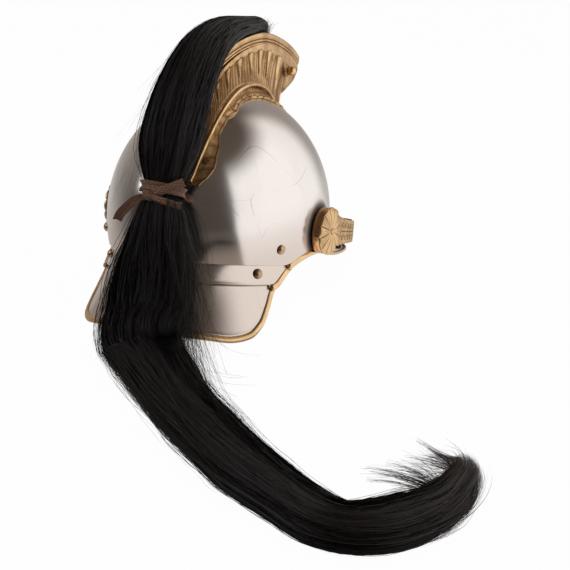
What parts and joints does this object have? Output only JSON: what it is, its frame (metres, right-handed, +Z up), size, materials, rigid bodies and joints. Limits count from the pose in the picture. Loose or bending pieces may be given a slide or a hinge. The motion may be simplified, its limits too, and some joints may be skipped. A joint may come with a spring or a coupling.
{
  "type": "cavalry helmet",
  "caption": "Polished steel cavalry helmet with a fluted brass crest, black horsehair mane, hinged neck plates and a chin-scale loop.",
  "frame": {"origin": "on the table, directly below the centre of the skull's widest ring, in the middle of the opening for the head", "axes": "+Z up, -Y the way the wearer faces, -X the wearer's right; the helmet leans forward on its visor and neck guard as it stands"},
  "size_m": [0.4859, 0.6973, 0.275],
  "materials": {
    "polished_steel": "polished, lightly scratched",
    "dark_steel": "dull",
    "brass": "aged, polished on the high places",
    "copper_brass": "reddish, polished",
    "buckle_brass": "polished",
    "horsehair": "soft sheen, combed strands",
    "ribbon": "flat woven",
    "leather": "matt, worn",
    "cord": "twisted"
  },
  "bodies": {
    "helmet": {"skull": "polished_steel", "skull_binding": "brass", "visor": "polished_steel", "visor_binding": "brass", "visor_rivets": "brass", "front_plate": "brass", "crest_right": "brass", "crest_left": "brass", "crest_top_roll": "brass", "crest_front_plate": "brass", "crest_foot_right": "brass", "crest_foot_left": "brass", "crest_ball_right": "brass", "crest_ball_left": "brass", "crest_screw_right": "brass", "crest_screw_left": "brass", "crest_bridge_front": "brass", "crest_bridge_rear": "brass", "crest_bolt_front": "dark_steel", "crest_bolt_rear": "dark_steel", "crest_nut_front": "dark_steel", "crest_nut_rear": "dark_steel", "mane_root": "horsehair", "mane_crest": "horsehair", "mane_fall": "horsehair", "mane_tail": "horsehair", "ribbon_band": "ribbon", "ribbon_ends": "ribbon", "ear_ring_right": "copper_brass", "ear_ring_left": "copper_brass", "rosette_right": "brass", "rosette_left": "brass", "rosette_pin_right": "brass", "rosette_pin_left": "brass", "plume_socket": "brass", "plume_bracket": "brass", "liner_band": "leather", "liner_tongues": "leather", "liner_cord": "cord", "lame_rivet_right": "copper_brass", "lame_rivet_left": "copper_brass"},
    "neck_lame": {"neck_lame": "polished_steel", "lame_binding_right": "brass", "lame_binding_left": "brass", "guard_rivet_right": "copper_brass", "guard_rivet_left": "copper_brass"},
    "neck_guard": {"neck_guard": "polished_steel", "guard_binding": "brass"},
    "chin_loop": {"loop_drum_right": "copper_brass", "loop_drum_left": "copper_brass", "chin_leather_right": "leather", "chin_leather_left": "leather", "chin_scales_right": "brass", "chin_scales_left": "brass", "chin_buckle": "buckle_brass", "buckle_bar": "buckle_brass"},
    "buckle_tongue": {"buckle_tongue": "buckle_brass"}
  },
  "joints": [
    {"name": "loop_turn", "type": "hinge", "parent": "helmet", "child": "chin_loop", "pos_m": [0, 0.00095, 0.0696], "axis": [1, 0, 0], "range_deg": [0, 95]},
    {"name": "lame_pivot", "type": "hinge", "parent": "helmet", "child": "neck_lame", "pos_m": [0, 0.06386, 0.06845], "axis": [-1, 0, 0], "range_deg": [0, 3]},
    {"name": "guard_pivot", "type": "hinge", "parent": "neck_lame", "child": "neck_guard", "pos_m": [0, 0.08565, 0.04811], "axis": [-1, 0, 0], "range_deg": [0, 3]},
    {"name": "tongue_turn", "type": "hinge", "parent": "chin_loop", "child": "buckle_tongue", "pos_m": [0, -0.17611, 0.01065], "axis": [0, -0.2377, 0.9713], "range_deg": [0, 70]}
  ]
}
